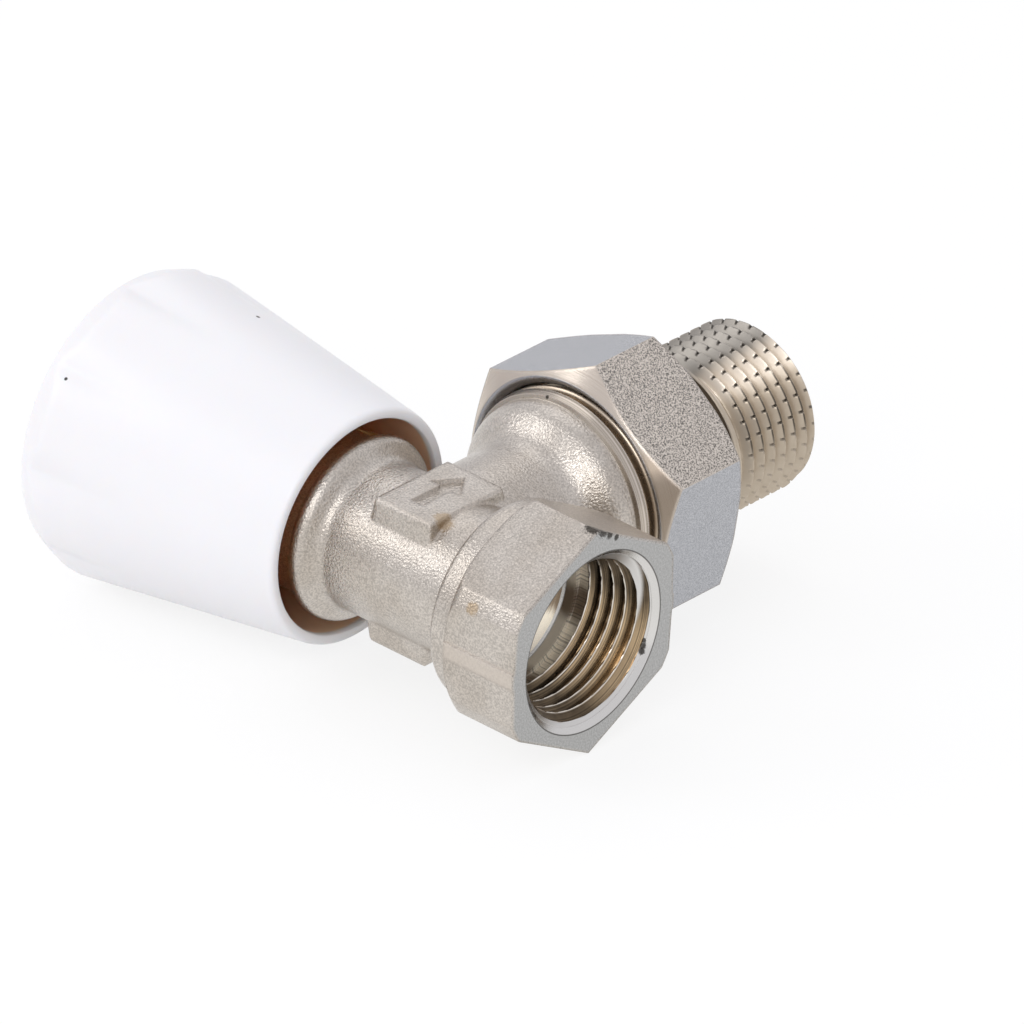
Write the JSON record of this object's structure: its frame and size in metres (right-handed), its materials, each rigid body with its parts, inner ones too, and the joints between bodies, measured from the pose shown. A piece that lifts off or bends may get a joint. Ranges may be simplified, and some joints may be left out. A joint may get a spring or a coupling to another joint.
{
  "type": "angle radiator valve",
  "caption": "Manual angle radiator valve: nickel-plated brass body with hexagonal female inlet, union nut and threaded tailpiece at right angles, white fluted handwheel on a rising stem.",
  "frame": {"origin": "centre of the inlet end face", "axes": "+X out of the inlet along the valve axis, +Y out along the union tailpiece, +Z normal to both and up as it lies"},
  "size_m": [0.0719, 0.0727, 0.0378],
  "materials": {
    "blasted_nickel": "bead-blasted nickel plate",
    "nut_nickel": "nickel plate",
    "tail_nickel": "turned nickel plate",
    "white_plastic": "smooth moulded",
    "bare_brass": "turned",
    "steel": "bright",
    "black_rubber": "matt"
  },
  "bodies": {
    "valve_body": {"valve_body": "blasted_nickel", "bonnet": "bare_brass", "bonnet_o_ring": "black_rubber", "spindle_o_ring_lower": "black_rubber", "gland_washer": "bare_brass", "spindle_o_ring_upper": "black_rubber", "gland_nut": "bare_brass"},
    "plug": {"valve_plug": "bare_brass", "plug_seal": "black_rubber", "plug_screw": "steel", "plug_retaining_ring": "steel"},
    "stem": {"spindle": "bare_brass", "spindle_clip": "steel", "handwheel": "white_plastic", "handwheel_screw": "steel", "handwheel_washer": "steel", "handwheel_cap": "white_plastic"},
    "tail": {"tailpiece": "tail_nickel", "tailpiece_o_ring": "black_rubber"},
    "union_nut": {"union_nut": "nut_nickel"}
  },
  "joints": [
    {"name": "plug_lift", "type": "slide", "parent": "valve_body", "child": "plug", "axis": [-1, 0, 0], "range_m": [0, 0.00375]},
    {"name": "handwheel_turn", "type": "hinge", "parent": "plug", "child": "stem", "pos_m": [-0.0245, 0, 0], "axis": [-1, 0, 0], "range_deg": [0, 900]},
    {"name": "tail_draw", "type": "slide", "parent": "valve_body", "child": "tail", "axis": [0, 1, 0], "range_m": [0, 0.00726]},
    {"name": "nut_turn", "type": "hinge", "parent": "tail", "child": "union_nut", "pos_m": [-0.0245, 0.03, 0], "axis": [0, 1, 0], "range_deg": [0, 1440]}
  ],
  "couplings": [
    {"joint": "handwheel_turn", "follows": "plug_lift", "rad_per_m": 4188.8},
    {"joint": "nut_turn", "follows": "tail_draw", "rad_per_m": 3463.7}
  ]
}
